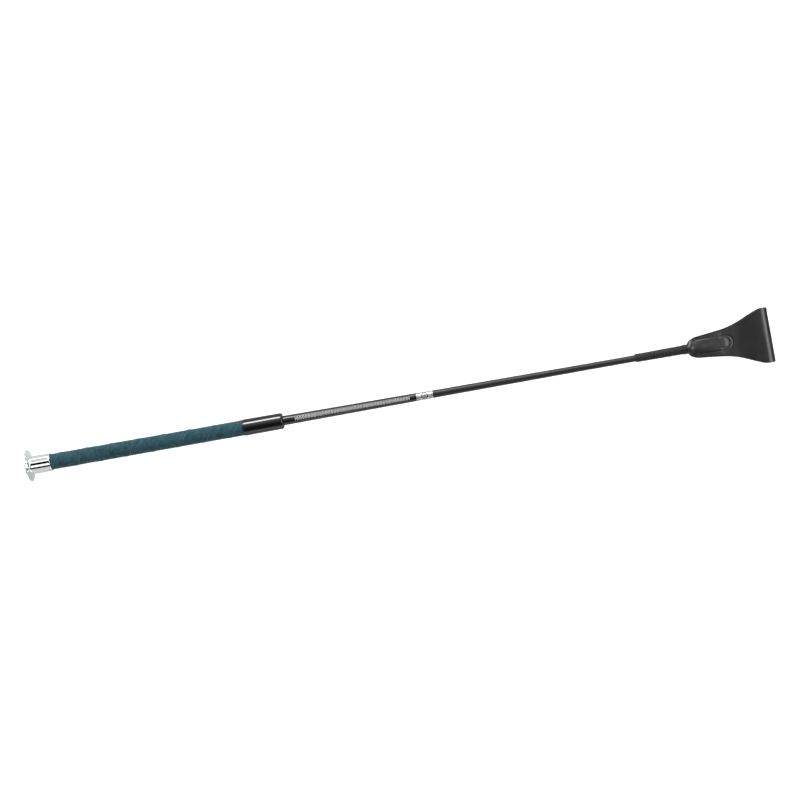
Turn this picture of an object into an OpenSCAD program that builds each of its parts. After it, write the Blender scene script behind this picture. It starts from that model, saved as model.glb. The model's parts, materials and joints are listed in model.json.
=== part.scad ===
// Riding crop, lying along +X: chrome cap at the origin, leather tongue at the far end.
// +Z is up, square to the flat of the tongue. The origin is the centre of the cap's end face.

/* [Crop] */
// Length from the cap's end face to the fold of the tongue
crop_l = 650; // [600:1:700]

/* [Butt cap] */
// Length of the cap
cap_l = 20; // [16:0.5:26]
// Diameter of the flange
flange_d = 27.7; // [22:0.1:32]
// Thickness of the flange at its rim
rim_t = 0.9; // [0.6:0.1:1.6]
// Diameter of the neck that a rack clip holds
neck_d = 15.5; // [15:0.1:17]
// Length of the trumpet flare behind the rim
flare_l = 2.1; // [1:0.1:6]
// Thickness of the end wall
cap_floor = 2; // [1:0.1:4]

/* [Handle] */
// Distance along the axis where the collar starts
grip_end = 187.5; // [160:0.5:195]
// Diameter over the suede at the cap
grip_rear_d = 13.7; // [13:0.05:14]
// Diameter over the suede at the collar
grip_front_d = 13.2; // [12.6:0.05:13.6]
// Thickness of the suede strip
suede_t = 1; // [0.6:0.1:1.4]
// Length of suede that is tucked under the cap and under the collar
tuck_l = 6; // [4:0.5:8]

/* [Collar] */
// Length of the collar
collar_l = 35.5; // [25:0.5:40]
// Diameter of the collar at the suede
collar_rear_d = 14.3; // [14:0.1:16]
// Diameter of the collar before its shoulder
collar_front_d = 13.9; // [13:0.1:15]
// Radius of the shoulder
collar_round = 2; // [1:0.1:3]
// Length of the end wall that grips the shaft
collar_wall_l = 11; // [6:0.5:15]

/* [Shaft] */
// Diameter of the glossy shaft at the collar
gloss_rear_d = 8.4; // [8:0.05:9]
// Diameter of the glossy shaft at the foil band
gloss_front_d = 7.15; // [7:0.05:7.6]
// Thickness of the glossy sleeve and of the foil band
gloss_t = 0.25; // [0.2:0.05:0.4]
// Distance along the axis where the foil band starts
band_start = 339.3; // [320:0.1:350]
// Length of the foil band
band_l = 14.3; // [10:0.1:20]
// Diameter of the satin sleeve at the band
satin_rear_d = 6.8; // [6.6:0.05:7]
// Diameter of the satin sleeve along its straight stretch
satin_front_d = 5.75; // [5.5:0.05:6]
// Distance along the axis where the straight stretch starts
satin_straight = 486; // [450:1:500]
// Thickness of the satin sleeve
satin_t = 0.15; // [0.1:0.05:0.3]

/* [Whipping] */
// Distance along the axis where the whipping starts
whip_start = 530.7; // [520:0.1:540]
// Length of the whipping before its crossing turns
whip_l = 41.3; // [35:0.1:44]
// Length of the crossing turns that lock it
lock_l = 5; // [4:0.1:6]
// Diameter over the first turns
whip_rear_d = 7.3; // [7.1:0.05:7.6]
// Diameter over the last turns
whip_front_d = 7.9; // [7.6:0.05:8.2]
// Thickness of the flattened waxed thread
thread_t = 0.45; // [0.3:0.05:0.6]

/* [Tongue] */
// Half the width of the stitched root at its widest
root_half_w = 9.6; // [8:0.1:11]
// Length of the rounded shoulders
shoulder_l = 12; // [9:0.5:14]
// Half the width of the fold
fold_half_w = 25; // [20:0.5:30]
// Thickness of the leather
leather_t = 1.8; // [1.4:0.1:2.2]
// Outer height of the round fold
fold_h = 7.6; // [6:0.1:9]
// Distance from the fold at which the two plies part
part_l = 22; // [16:1:26]
// Distance from the fold to the hinge line where the tongue starts to bend
hinge_back = 26; // [24:0.5:28]
// Gap between the stitched root and the bending part
hinge_gap = 0.3; // [0.2:0.05:0.5]

/* [Stiffener and stitching] */
// Width of the stiffener between the plies
stiffener_w = 10; // [8:0.5:11]
// Thickness of the stiffener
stiffener_t = 1.4; // [1:0.1:2]
// Distance along the axis where the stiffener ends
stiffener_end = 611.7; // [608:0.1:613]
// Distance between the two rows of stitches
row_gap = 12.4; // [12:0.1:13]
// Distance along the axis where the rows start
row_start = 585; // [583:0.5:588]
// Distance along the axis of the far side of the curved seam
row_end = 616.1; // [614:0.1:616.5]
// Stitch pitch
stitch_pitch = 2.1; // [1.8:0.1:3]
// Length of one stitch
stitch_l = 1.5; // [1:0.1:1.7]
// Diameter of the sewing thread
stitch_d = 0.6; // [0.4:0.05:0.8]

/* [Hidden] */
$fn = 96;
tiny = 0.01;
far = 100;

// Butt cap
edge_round = 0.45;
groove_w = 0.4;
groove_deep = 0.25;
mouth_chamfer = 0.3;
flare_foot = rim_t + flare_l;
neck_start = flare_foot + groove_w;
suede_start = cap_l - tuck_l;
cap_bore_r = grip_rear_d / 2;

// Handle and collar
suede_stop = grip_end + tuck_l;
collar_end = grip_end + collar_l;
collar_step = collar_end - collar_wall_l;
rod_start = cap_floor + 3;
rod_r = gloss_rear_d / 2 - gloss_t;

// Shaft
band_end = band_start + band_l;
band_front_d = satin_rear_d + 2 * (gloss_t - satin_t);
guard_l = 7;
guard_wall = 0.4;
guard_end = 589;
guard_start = guard_end - guard_l;
rod_end = guard_end - 1.5;

// Whipping and leather tails under it
lock_start = whip_start + whip_l;
lock_end = lock_start + lock_l;
lock_r = whip_front_d / 2 + 0.1;
tail_start = whip_start + 1.5;
tail_rear_r = whip_rear_d / 2 - thread_t;
tail_front_r = whip_front_d / 2 - thread_t;

// Tongue
shoulder_x = lock_end - 1 + shoulder_l;
flare_start = shoulder_x + 15;
flare_run = crop_l - 3 - flare_start;
straight_rise = 0.11;
flare_power = 1.3;
hinge_x = crop_l - hinge_back;
hinge_r = leather_t + 0.05;
root_end = hinge_x - hinge_r - hinge_gap;
fold_r = fold_h / 2;
fold_x = crop_l - fold_r;
part_x = crop_l - part_l;
outline_step = 2.5;
pad_t = 0.85;

// Distance from the axis at x on the straight line through two stations given as [x, diameter]
function line_r(x, a, b) = (a[1] + (b[1] - a[1]) * (x - a[0]) / (b[0] - a[0])) / 2;

// Outer radius of the suede, of the core under it and of the leather tails, at x
function suede_r(x) = line_r(x, [suede_start, grip_rear_d], [grip_end, grip_front_d]);
function core_r(x) = suede_r(x) - suede_t;
function tail_r(x) = line_r(x, [whip_start, 2 * tail_rear_r], [lock_start, 2 * tail_front_r]);

// Rises from 0 to 1 with level ends
function smooth(t) = let (u = min(1, max(0, t))) u * u * (3 - 2 * u);

// Half the width of the tongue at x: an elliptical shoulder, a slow straight rise, then the flare
function shoulder_y(x) = x >= shoulder_x ? 1 : sqrt(max(0, 1 - pow((shoulder_x - x) / shoulder_l, 2)));
function rise_y(x) = straight_rise * max(0, x - shoulder_x);
function flare_y(x) = smooth(pow(max(0, (x - flare_start) / flare_run), flare_power));
flare_gain = fold_half_w - root_half_w - rise_y(crop_l);
function half_w(x) = root_half_w * shoulder_y(x) + rise_y(x) + flare_gain * flare_y(x);

// A solid turned about +X from [radius, x] points
module turned(points) {
    rotate([0, 90, 0]) rotate_extrude() polygon(points);
}

// A tapered tube along +X from [x, inner radius, outer radius] stations
module tube(stations) {
    outer = [for (s = stations) [s[2], s[0]]];
    inner = [for (i = [len(stations) - 1 : -1 : 0]) [stations[i][1], stations[i][0]]];
    turned(concat(outer, inner));
}

// A solid extruded along Y from [x, z] points
module across(points, width) {
    rotate([90, 0, 0]) linear_extrude(width, center = true) polygon(points);
}

// Everything above (side 1) or below (side -1) the mid-plane between the plies
module half_space(side) {
    translate([0, -far, side > 0 ? 0 : -far]) cube([crop_l + far, 2 * far, far]);
}

// Plan outline of the tongue from one x to another
module tongue_plan(from, to) {
    n = ceil((to - from) / outline_step);
    xs = [for (i = [0 : n]) from + (to - from) * i / n];
    upper = [for (x = xs) [x, half_w(x)]];
    lower = [for (i = [n : -1 : 0]) [xs[i], -half_w(xs[i])]];
    polygon(concat(upper, lower));
}

// Chromed turned cap: flat end face, thin rim, trumpet flare, fine groove and a straight neck
module butt_cap() {
    rim_r = flange_d / 2;
    neck_r = neck_d / 2;
    edge = [for (a = [270 : 15 : 360]) [
        rim_r - edge_round + edge_round * cos(a),
        edge_round + edge_round * sin(a)
    ]];
    flare = [for (a = [0 : 7.5 : 90]) [
        rim_r - (rim_r - neck_r) * sin(a),
        flare_foot - flare_l * cos(a)
    ]];
    groove = [
        [neck_r - groove_deep, flare_foot + groove_w / 4],
        [neck_r - groove_deep, neck_start - groove_w / 4],
        [neck_r, neck_start]
    ];
    mouth = [[neck_r, cap_l - mouth_chamfer], [neck_r - mouth_chamfer, cap_l], [suede_r(cap_l), cap_l]];
    bore = [[cap_bore_r, suede_start], [cap_bore_r, cap_floor], [0, cap_floor]];
    color("gainsboro") turned(concat([[0, 0]], edge, flare, groove, mouth, bore));
}

// Moulded plug that fills the cap behind the handle and seats the butt of the rod
module cap_plug() {
    color("dimgray") turned([
        [0, cap_floor], [cap_bore_r, cap_floor], [cap_bore_r, suede_start],
        [rod_r, suede_start], [rod_r, rod_start], [0, rod_start]
    ]);
}

// Moulded tube that brings the rod up to the thickness of the handle
module handle_core() {
    color("black") tube([
        [suede_start, rod_r, core_r(suede_start)],
        [collar_step, rod_r, core_r(collar_step)]
    ]);
}

// Suede strip wound round the handle, its ends tucked under the cap and the collar
module grip_wrap() {
    color([0.24, 0.39, 0.44]) tube([
        [suede_start, core_r(suede_start), suede_r(suede_start)],
        [suede_stop, core_r(suede_stop), suede_r(suede_stop)]
    ]);
}

// Glossy ferrule with a rounded shoulder and a thick end wall round the shaft
module collar() {
    front_r = collar_front_d / 2;
    shoulder = [for (a = [0 : 15 : 90]) [
        front_r - collar_round + collar_round * cos(a),
        collar_end - collar_round + collar_round * sin(a)
    ]];
    color([0.06, 0.06, 0.06]) turned(concat(
        [[suede_r(grip_end), grip_end], [collar_rear_d / 2, grip_end]],
        shoulder,
        [
            [gloss_rear_d / 2, collar_end], [gloss_rear_d / 2, collar_step],
            [core_r(collar_step), collar_step], [core_r(suede_stop), suede_stop],
            [suede_r(suede_stop), suede_stop]
        ]
    ));
}

// Tapered carbon rod that runs from the cap plug into the root of the tongue
module carbon_rod() {
    color([0.1, 0.1, 0.11]) turned([
        [0, rod_start], [rod_r, rod_start], [rod_r, collar_end],
        [gloss_front_d / 2 - gloss_t, band_start], [satin_rear_d / 2 - satin_t, band_end],
        [satin_front_d / 2 - satin_t, satin_straight], [satin_front_d / 2 - satin_t, guard_start],
        [satin_front_d / 2 - guard_wall, guard_start], [satin_front_d / 2 - guard_wall, rod_end],
        [0, rod_end]
    ]);
}

// Glossy black sleeve over the rear half of the shaft
module gloss_sleeve() {
    color([0.08, 0.08, 0.08]) tube([
        [collar_step, rod_r, rod_r + gloss_t],
        [collar_end, rod_r, rod_r + gloss_t],
        [band_start, gloss_front_d / 2 - gloss_t, gloss_front_d / 2]
    ]);
}

// Silver foil band between the two sleeves
module foil_band() {
    color("silver") tube([
        [band_start, gloss_front_d / 2 - gloss_t, gloss_front_d / 2],
        [band_end, satin_rear_d / 2 - satin_t, band_front_d / 2]
    ]);
}

// Satin black sleeve over the front half of the shaft
module satin_sleeve() {
    color([0.2, 0.2, 0.21]) tube([
        [band_end, satin_rear_d / 2 - satin_t, satin_rear_d / 2],
        [satin_straight, satin_front_d / 2 - satin_t, satin_front_d / 2],
        [guard_start, satin_front_d / 2 - satin_t, satin_front_d / 2]
    ]);
}

// Small moulded cap that keeps the tip of the rod from cutting the leather
module tip_guard() {
    color("gray") turned([
        [satin_front_d / 2 - guard_wall, guard_start], [satin_front_d / 2, guard_start],
        [satin_front_d / 2, guard_end], [0, guard_end],
        [0, rod_end], [satin_front_d / 2 - guard_wall, rod_end]
    ]);
}

// Waxed thread wound over the shaft and the leather tails
module whipping() {
    sleeve_r = satin_front_d / 2;
    color([0.13, 0.13, 0.13]) turned([
        [sleeve_r, whip_start], [whip_rear_d / 2, whip_start], [whip_front_d / 2, lock_start],
        [tail_r(lock_start), lock_start], [tail_r(tail_start), tail_start], [sleeve_r, tail_start]
    ]);
}

// Crossing turns of the same thread that lock it against the tongue
module whipping_lock() {
    color([0.16, 0.16, 0.16]) tube([
        [lock_start, tail_r(lock_start), lock_r],
        [lock_end, tail_r(lock_end), lock_r]
    ]);
}

// Plan outline of the stiffener, grown all round by a margin
module stiffener_plan(margin) {
    r = stiffener_w / 2 + margin;
    nose_x = stiffener_end - stiffener_w / 2;
    translate([nose_x, 0]) circle(r);
    translate([guard_end, -r]) square([nose_x - guard_end, 2 * r]);
}

// Flat stiffener between the two plies, round at its far end
module stiffener() {
    color("saddlebrown") translate([0, 0, -stiffener_t / 2])
        linear_extrude(stiffener_t) stiffener_plan(0);
}

// One ply of the stitched root with its skived tail; side is 1 on top and -1 below
module root_ply(side) {
    sleeve_r = satin_front_d / 2;
    cover_r = lock_r + 0.25;
    nose_l = 16;
    difference() {
        intersection() {
            union() {
                translate([0, 0, -leather_t])
                    linear_extrude(2 * leather_t) tongue_plan(lock_end, root_end);
                translate([0, 0, -leather_t - pad_t])
                    linear_extrude(2 * (leather_t + pad_t)) stiffener_plan(leather_t / 2);
                turned(concat(
                    [[0, lock_end], [cover_r, lock_end], [cover_r, guard_start]],
                    [for (a = [15 : 15 : 90]) [cover_r * cos(a), guard_start + nose_l * sin(a)]]
                ));
                turned([
                    [0, tail_start], [tail_r(tail_start), tail_start],
                    [tail_r(lock_end), lock_end], [0, lock_end]
                ]);
            }
            half_space(side);
        }
        turned([[0, tail_start - 1], [sleeve_r, tail_start - 1], [sleeve_r, guard_end], [0, guard_end]]);
        translate([0, 0, -stiffener_t / 2]) linear_extrude(stiffener_t) stiffener_plan(0);
    }
}

module root_ply_top() {
    color([0.22, 0.22, 0.22]) root_ply(1);
}

module root_ply_bottom() {
    color([0.2, 0.2, 0.2]) root_ply(-1);
}

// One stitch lying along a direction on the leather, with its thread through both plies
module stitch(x, y, angle) {
    translate([x, y, 0]) rotate([0, 0, angle]) {
        for (z = [-leather_t, leather_t])
            translate([0, 0, z]) rotate([0, 90, 0]) cylinder(h = stitch_l, d = stitch_d, center = true, $fn = 24);
        cylinder(h = 2 * leather_t, d = stitch_d, center = true, $fn = 24);
    }
}

// U-shaped seam: two straight rows joined by a curved one round the stiffener's end
module tongue_stitching() {
    r = row_gap / 2;
    turn_x = row_end - r;
    n_row = floor((turn_x - row_start) / stitch_pitch);
    n_arc = round(PI * r / stitch_pitch);
    color([0.1, 0.1, 0.1]) {
        for (i = [1 : n_row])
            for (side = [-1, 1])
                stitch(turn_x - i * stitch_pitch, side * r, 0);
        for (i = [0 : n_arc]) {
            a = -90 + 180 * i / n_arc;
            stitch(turn_x + r * cos(a), r * sin(a), a + 90);
        }
    }
}

// The rest of the leather strip: two plies from the hinge line to a round fold, one solid.
// Its end at the hinge line is round about that line, so that it turns clear of the root.
module tongue_fold() {
    top_z = function (x) leather_t + (fold_r - leather_t) * smooth((x - part_x) / (fold_x - part_x));
    steps = 8;
    xs = [for (i = [0 : steps]) part_x + (fold_x - part_x) * i / steps];
    inner_r = fold_r - leather_t;
    upper = [for (x = xs) [x, top_z(x)]];
    nose = [for (a = [75 : -15 : -75]) [fold_x + fold_r * cos(a), fold_r * sin(a)]];
    lower = [for (i = [steps : -1 : 0]) [xs[i], -top_z(xs[i])]];
    knuckle = [for (a = [270 : -15 : 90]) [hinge_x + leather_t * cos(a), leather_t * sin(a)]];
    hollow_upper = [for (i = [1 : steps]) [xs[i], top_z(xs[i]) - leather_t]];
    hollow_nose = [for (a = [75 : -15 : -75]) [fold_x + inner_r * cos(a), inner_r * sin(a)]];
    hollow_lower = [for (i = [steps : -1 : 1]) [xs[i], leather_t - top_z(xs[i])]];
    color([0.22, 0.22, 0.22]) intersection() {
        difference() {
            across(concat(upper, nose, lower, knuckle), 2 * far);
            across(concat([[part_x, 0]], hollow_upper, hollow_nose, hollow_lower), 2 * far + 1);
        }
        translate([0, 0, -far / 2]) linear_extrude(far) tongue_plan(hinge_x - hinge_r, crop_l);
    }
}

butt_cap();
cap_plug();
handle_core();
grip_wrap();
collar();
carbon_rod();
gloss_sleeve();
foil_band();
satin_sleeve();
tip_guard();
whipping();
whipping_lock();
stiffener();
root_ply_top();
root_ply_bottom();
tongue_stitching();
tongue_fold();
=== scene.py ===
"""Looks of a riding crop: chrome cap, wound suede grip, slim black shaft and folded leather tongue.

Shapes are worked out in millimetres about the crop's own axis, +X from the cap to the tongue, and
go into the meshes in metres. "Round" is the angle about the axis, 0 on the upper side (+Z) and a
quarter turn on the +Y side.
"""

import json
import math

import bpy
import numpy as np
from mathutils import Euler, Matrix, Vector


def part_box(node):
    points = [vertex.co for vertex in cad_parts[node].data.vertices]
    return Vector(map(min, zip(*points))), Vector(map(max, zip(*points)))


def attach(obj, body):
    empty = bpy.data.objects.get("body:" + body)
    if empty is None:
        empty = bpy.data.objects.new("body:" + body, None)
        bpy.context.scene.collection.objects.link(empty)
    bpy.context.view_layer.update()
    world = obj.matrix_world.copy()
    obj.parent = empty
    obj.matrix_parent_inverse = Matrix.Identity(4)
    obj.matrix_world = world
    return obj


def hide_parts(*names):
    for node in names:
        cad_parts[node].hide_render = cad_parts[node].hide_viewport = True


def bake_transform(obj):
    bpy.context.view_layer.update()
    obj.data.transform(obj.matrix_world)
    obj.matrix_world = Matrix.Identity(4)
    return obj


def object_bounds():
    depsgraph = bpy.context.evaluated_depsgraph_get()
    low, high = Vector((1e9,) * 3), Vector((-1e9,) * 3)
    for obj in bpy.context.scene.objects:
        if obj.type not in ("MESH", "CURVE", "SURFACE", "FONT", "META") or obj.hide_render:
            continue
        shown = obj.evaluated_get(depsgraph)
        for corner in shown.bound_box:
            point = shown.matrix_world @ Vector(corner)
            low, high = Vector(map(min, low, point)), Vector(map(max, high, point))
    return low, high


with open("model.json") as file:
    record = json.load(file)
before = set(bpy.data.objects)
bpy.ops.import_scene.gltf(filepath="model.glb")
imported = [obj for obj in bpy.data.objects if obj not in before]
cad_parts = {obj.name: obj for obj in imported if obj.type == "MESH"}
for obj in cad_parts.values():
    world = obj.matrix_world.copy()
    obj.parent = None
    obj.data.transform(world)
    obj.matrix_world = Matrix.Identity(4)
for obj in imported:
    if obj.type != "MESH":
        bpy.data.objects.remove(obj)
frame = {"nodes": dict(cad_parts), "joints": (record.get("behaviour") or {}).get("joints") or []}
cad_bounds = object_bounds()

MM = 0.001
TURN = 2 * math.pi


def span(node):
    """First and last X of a CAD node, in millimetres."""
    low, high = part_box(node)
    return low.x / MM, high.x / MM


def reach(node):
    """Largest height of a CAD node above the axis, in millimetres."""
    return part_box(node)[1].z / MM


# ---- Driving dimensions, in millimetres ----

CAP_END = span("butt_cap")[1]
RIM_R = reach("butt_cap")
RIM_T = 0.9
RIM_ROUND = 0.45
FLARE_L = 2.1
FLARE_FOOT = RIM_T + FLARE_L
NECK_START = FLARE_FOOT + 0.4
NECK_R = 7.75
GROOVE_DEEP = 0.25
CAP_FLOOR = span("cap_plug")[0]
CAP_BORE_R = reach("cap_plug")

SUEDE_START, SUEDE_STOP = span("grip_wrap")
SUEDE_R = reach("grip_wrap")
SUEDE_T = 1.0
GRIP_END, COLLAR_END = span("collar")
GRIP_NARROWS = 0.25
SUEDE_TAPER = GRIP_NARROWS / (GRIP_END - SUEDE_START)
WIND_PITCH = 22.42
SEAM_AT_SIDE = 30.1
OVERLAP = 4.0
SEAM_STEP = 0.26
SKIVED_T = 0.25
STRIP_EDGE = 0.5
STRIP_LEAD = 1.5
TUCK = 0.8

COLLAR_R = reach("collar")
COLLAR_FRONT_R = 6.95
COLLAR_ROUND = 2.0
COLLAR_LIP = 2.6

SLEEVE_START, BAND_START = span("gloss_sleeve")
GLOSS_R = reach("gloss_sleeve")
GLOSS_FRONT_R = 3.575
GLOSS_T = 0.25
PRINT_START = 233.0
PRINT_PITCH = 5.03
PRINT_CELLS = 20
LOZENGE_HALF_L = 1.35
LOZENGE_HALF_H = 1.75
BAR_X = 1.93
BAND_END = span("foil_band")[1]
BAND_FRONT_R = 3.5
SATIN_END = span("satin_sleeve")[1]
SATIN_R = reach("satin_sleeve")
SATIN_STRAIGHT = 486.0
SATIN_FRONT_R = 2.875
SATIN_T = 0.15

WHIP_START, WHIP_END = span("whipping")
THREAD_PITCH = 0.77
THREAD_T = 0.45
THREAD_SIDES = 8
WHIP_REAR_R = 3.65
WHIP_FRONT_R = reach("whipping")
LOCK_START, LOCK_END = span("whipping_lock")

TIP = span("tongue_fold")[1]
HIDE_T = 1.8
TAIL_T = 0.55
TAIL_R = 3.6
FOLD_R = reach("tongue_fold")
FOLD_X = TIP - FOLD_R
PART_X = TIP - 22.0
ROOT_HALF_W = 9.6
FOLD_HALF_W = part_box("tongue_fold")[1].y / MM
SHOULDER_L = 12.0
SHOULDER_X = LOCK_END - 1 + SHOULDER_L
FLARE_START = SHOULDER_X + 15
FLARE_RUN = TIP - 3 - FLARE_START
STRAIGHT_RISE = 0.11
FLARE_POWER = 1.3
STIFFENER_END = span("stiffener")[1]
STIFFENER_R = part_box("stiffener")[1].y / MM
NOSE_X = STIFFENER_END - STIFFENER_R
SEAM_R = 6.2
SEAM_FAR = 616.1
SEAM_TURN_X = SEAM_FAR - SEAM_R
STITCH_PITCH = 2.1
ROW_STITCHES = 11
ARC_STITCHES = 9
FOLD_BACK = 3.4
FOLD_NARROWS = 0.045
RISE_X = PART_X - 9
RIDGE_START = 580.0
RIDGE_RUN = 33.0
RIDGE_HALF_W = 7.2
PAD_HALF_W = 12.5
PAD_SPREAD_RUN = 22.0
ROOT_START = 583.0
SEWN_START = 583.5
ROD_COVER_END = 603.0
ROD_COVER_RUN = 19.0
RIPPLE_START = 612.0
RIDGE = 2.05
PAD = 0.58
NOSE_R = SEAM_R - 3.7
NOSE_SLOPE = 3.3
HINGE_X = frame["joints"][0]["pos_m"][0] / MM
BEND_HALF = 7.0


# ---- Shape helpers ----

def smooth(t):
    """Rises from 0 to 1 with level ends: 3t squared less 2t cubed, held at 0 and 1 outside."""
    t = np.clip(t, 0.0, 1.0)
    return t * t * (3 - 2 * t)


def swell(points, wavelength, seed, waves=10):
    """A gentle random swell in space, about -1 to 1: the mean of sine waves of about one length that run
    in random directions, each with a random phase, scaled up to keep its height."""
    rng = np.random.default_rng(seed)
    total = np.zeros(points.shape[:-1])
    for _ in range(waves):
        way = rng.normal(size=3)
        way /= np.linalg.norm(way)
        length = wavelength * rng.uniform(0.7, 1.5)
        total += np.sin(points @ way * TURN / length + rng.uniform(0, TURN))
    return total / math.sqrt(waves)


def arc(x, r, size_x, size_r, start, stop, steps):
    """Points [x, r] on an ellipse about (x, r), from one angle to another in degrees; 0 points along +X."""
    angle = np.radians(np.linspace(start, stop, steps))
    return np.stack([x + size_x * np.cos(angle), r + size_r * np.sin(angle)], axis=1)


def spaced(corners, step):
    """A polyline's points with more set evenly along each side, at most a step apart."""
    corners = np.asarray(corners, float)
    pieces = []
    for a, b in zip(corners[:-1], corners[1:]):
        n = max(1, math.ceil(np.linalg.norm(b - a) / step))
        pieces.append(a + (b - a) * np.arange(n)[:, None] / n)
    return np.concatenate(pieces + [corners[-1:]])


def turned(profile, columns):
    """A profile of [x, r] points carried once round the axis: y is r times the sine of the round angle,
    and z is r times its cosine."""
    angle = np.arange(columns) * TURN / columns
    x, r = profile[:, 0, None], profile[:, 1, None]
    return np.stack([x + 0 * angle, r * np.sin(angle), r * np.cos(angle)], axis=-1)


def tube(path, up, half_width, half_height, sides):
    """An elliptical section carried along a path: half_height along up, half_width square to up and to
    the path, which may be many paths of one length stacked in front."""
    along = np.gradient(path, axis=-2)
    across = np.cross(along, up)
    across /= np.linalg.norm(across, axis=-1, keepdims=True)
    angle = np.arange(sides) * TURN / sides
    wide = across[..., None, :] * (half_width * np.cos(angle))[:, None]
    high = up[..., None, :] * (half_height * np.sin(angle))[:, None]
    return path[..., None, :] + wide + high


def closed_tube(path, up, half_width, half_height, sides):
    """The same section carried along a path that ends where it starts."""
    ring = tube(np.concatenate([path[-1:], path, path[:1]]), np.concatenate([up[-1:], up, up[:1]]),
                half_width, half_height, sides)
    return ring[1:-1]


def piece(name, grid, material, body=None, loop=False, marks=None, crease=40):
    """Makes one piece from a grid of points in millimetres, with rows along it and columns round it.

    Columns close on themselves. With loop, rows do too, and otherwise each end is closed by a fan of
    triangles to its middle. Grids stacked in front are separate solids of one piece. marks are named
    values at the grid's points, which the material reads."""
    parts, rows, columns = (1, *grid.shape[:-1])[-3:]
    points = grid.reshape(parts, rows * columns, 3)
    upper = np.arange(rows if loop else rows - 1)[:, None]
    column = np.arange(columns)
    after = (upper + 1) % rows
    beside = (column + 1) % columns
    quads = np.stack([
        upper * columns + column, upper * columns + beside, after * columns + beside, after * columns + column
    ], axis=-1).reshape(-1, 4)
    fans = np.zeros((0, 3), int)
    if not loop:
        middles = np.stack([points[:, :columns].mean(1), points[:, -columns:].mean(1)], axis=1)
        points = np.concatenate([points, middles], axis=1)
        last = (rows - 1) * columns
        first_fan = np.stack([np.full(columns, rows * columns), beside, column], axis=1)
        last_fan = np.stack([np.full(columns, rows * columns + 1), last + column, last + beside], axis=1)
        fans = np.concatenate([first_fan, last_fan])
    a, b, c, d = (points[0][quads[:, i]] for i in range(4))
    volume = (np.cross(a, b) * c).sum() + (np.cross(a, c) * d).sum()
    if volume < 0:
        quads = quads[:, ::-1]
        fans = fans[:, ::-1]
    count = points.shape[1]
    shift = np.arange(parts)[:, None, None] * count
    faces = (quads + shift).reshape(-1, 4).tolist() + (fans + shift).reshape(-1, 3).tolist()
    mesh = bpy.data.meshes.new(name)
    mesh.from_pydata((points.reshape(-1, 3) * MM).tolist(), [], faces)
    mesh.polygons.foreach_set("use_smooth", [True] * len(mesh.polygons))
    mesh.set_sharp_from_angle(angle=math.radians(crease))
    for key, value in (marks or {}).items():
        flat = value.reshape(parts, rows * columns, -1)
        if not loop:
            ends = np.stack([flat[:, :columns].mean(1), flat[:, -columns:].mean(1)], axis=1)
            flat = np.concatenate([flat, ends], axis=1)
        vector = flat.shape[-1] == 3
        layer = mesh.attributes.new(key, "FLOAT_VECTOR" if vector else "FLOAT", "POINT")
        layer.data.foreach_set("vector" if vector else "value", flat.astype(np.float32).ravel())
    mesh.materials.append(material)
    made = bpy.data.objects.new(name, mesh)
    bpy.context.scene.collection.objects.link(made)
    if body:
        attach(made, body)
    return made


# ---- Shader helpers ----

class Term:
    """A number that a shader works out at each point, so that a pattern reads as ordinary arithmetic."""

    def __init__(self, tree, socket):
        self.tree, self.socket = tree, socket

    def calc(self, operation, *others):
        made = self.tree.nodes.new("ShaderNodeMath")
        made.operation = operation
        for socket, term in zip(made.inputs, (self, *others)):
            fill(self.tree, socket, term)
        return Term(self.tree, made.outputs[0])

    def __add__(self, other):
        return self.calc("ADD", other)

    def __sub__(self, other):
        return self.calc("SUBTRACT", other)

    def __mul__(self, other):
        return self.calc("MULTIPLY", other)

    def __truediv__(self, other):
        return self.calc("DIVIDE", other)

    def __abs__(self):
        return self.calc("ABSOLUTE")

    def power(self, other):
        return self.calc("POWER", other)

    def smaller(self, other):
        return self.calc("MINIMUM", other)

    def ramp(self, start, stop):
        """0 at start and 1 at stop, with level ends; start may be the larger."""
        made = self.tree.nodes.new("ShaderNodeMapRange")
        made.interpolation_type = "SMOOTHSTEP"
        low, high = sorted((start, stop))
        for key, value in {"Value": self, "From Min": low, "From Max": high}.items():
            fill(self.tree, made.inputs[key], value)
        result = Term(self.tree, made.outputs[0])
        return result if start < stop else result * -1.0 + 1.0


def fill(tree, socket, value):
    """Gives a socket a number, a colour, or another node's output."""
    if isinstance(value, Term):
        value = value.socket
    if isinstance(value, bpy.types.NodeSocket):
        tree.links.new(value, socket)
    elif isinstance(value, (tuple, list)) and socket.type == "RGBA" and len(value) == 3:
        socket.default_value = (*value, 1.0)
    else:
        socket.default_value = value


def add(tree, kind, values=None, **settings):
    """Adds a shader node with its settings, and fills its sockets."""
    made = tree.nodes.new("ShaderNode" + kind)
    for key, value in settings.items():
        setattr(made, key, value)
    for key, value in (values or {}).items():
        fill(tree, made.inputs[key], value)
    return made


def place_mm(tree, name=None):
    """The point's place in millimetres, from Object coordinates, or from a mark that the mesh carries."""
    if name:
        return add(tree, "Attribute", attribute_name=name).outputs["Vector"]
    where = add(tree, "TexCoord").outputs["Object"]
    return add(tree, "VectorMath", {0: where, "Scale": 1 / MM}, operation="SCALE").outputs[0]


def split(tree, vector):
    """A vector's three numbers."""
    return [Term(tree, socket) for socket in add(tree, "SeparateXYZ", {0: vector}).outputs]


def noise(tree, where, size, detail=2.0, roughness=0.5, distortion=0.0):
    """Soft random patches of about the given size in millimetres, 0 to 1."""
    made = add(tree, "TexNoise", {
        "Vector": where, "Scale": 1 / size, "Detail": detail, "Roughness": roughness, "Distortion": distortion
    })
    return Term(tree, made.outputs[0])


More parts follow.
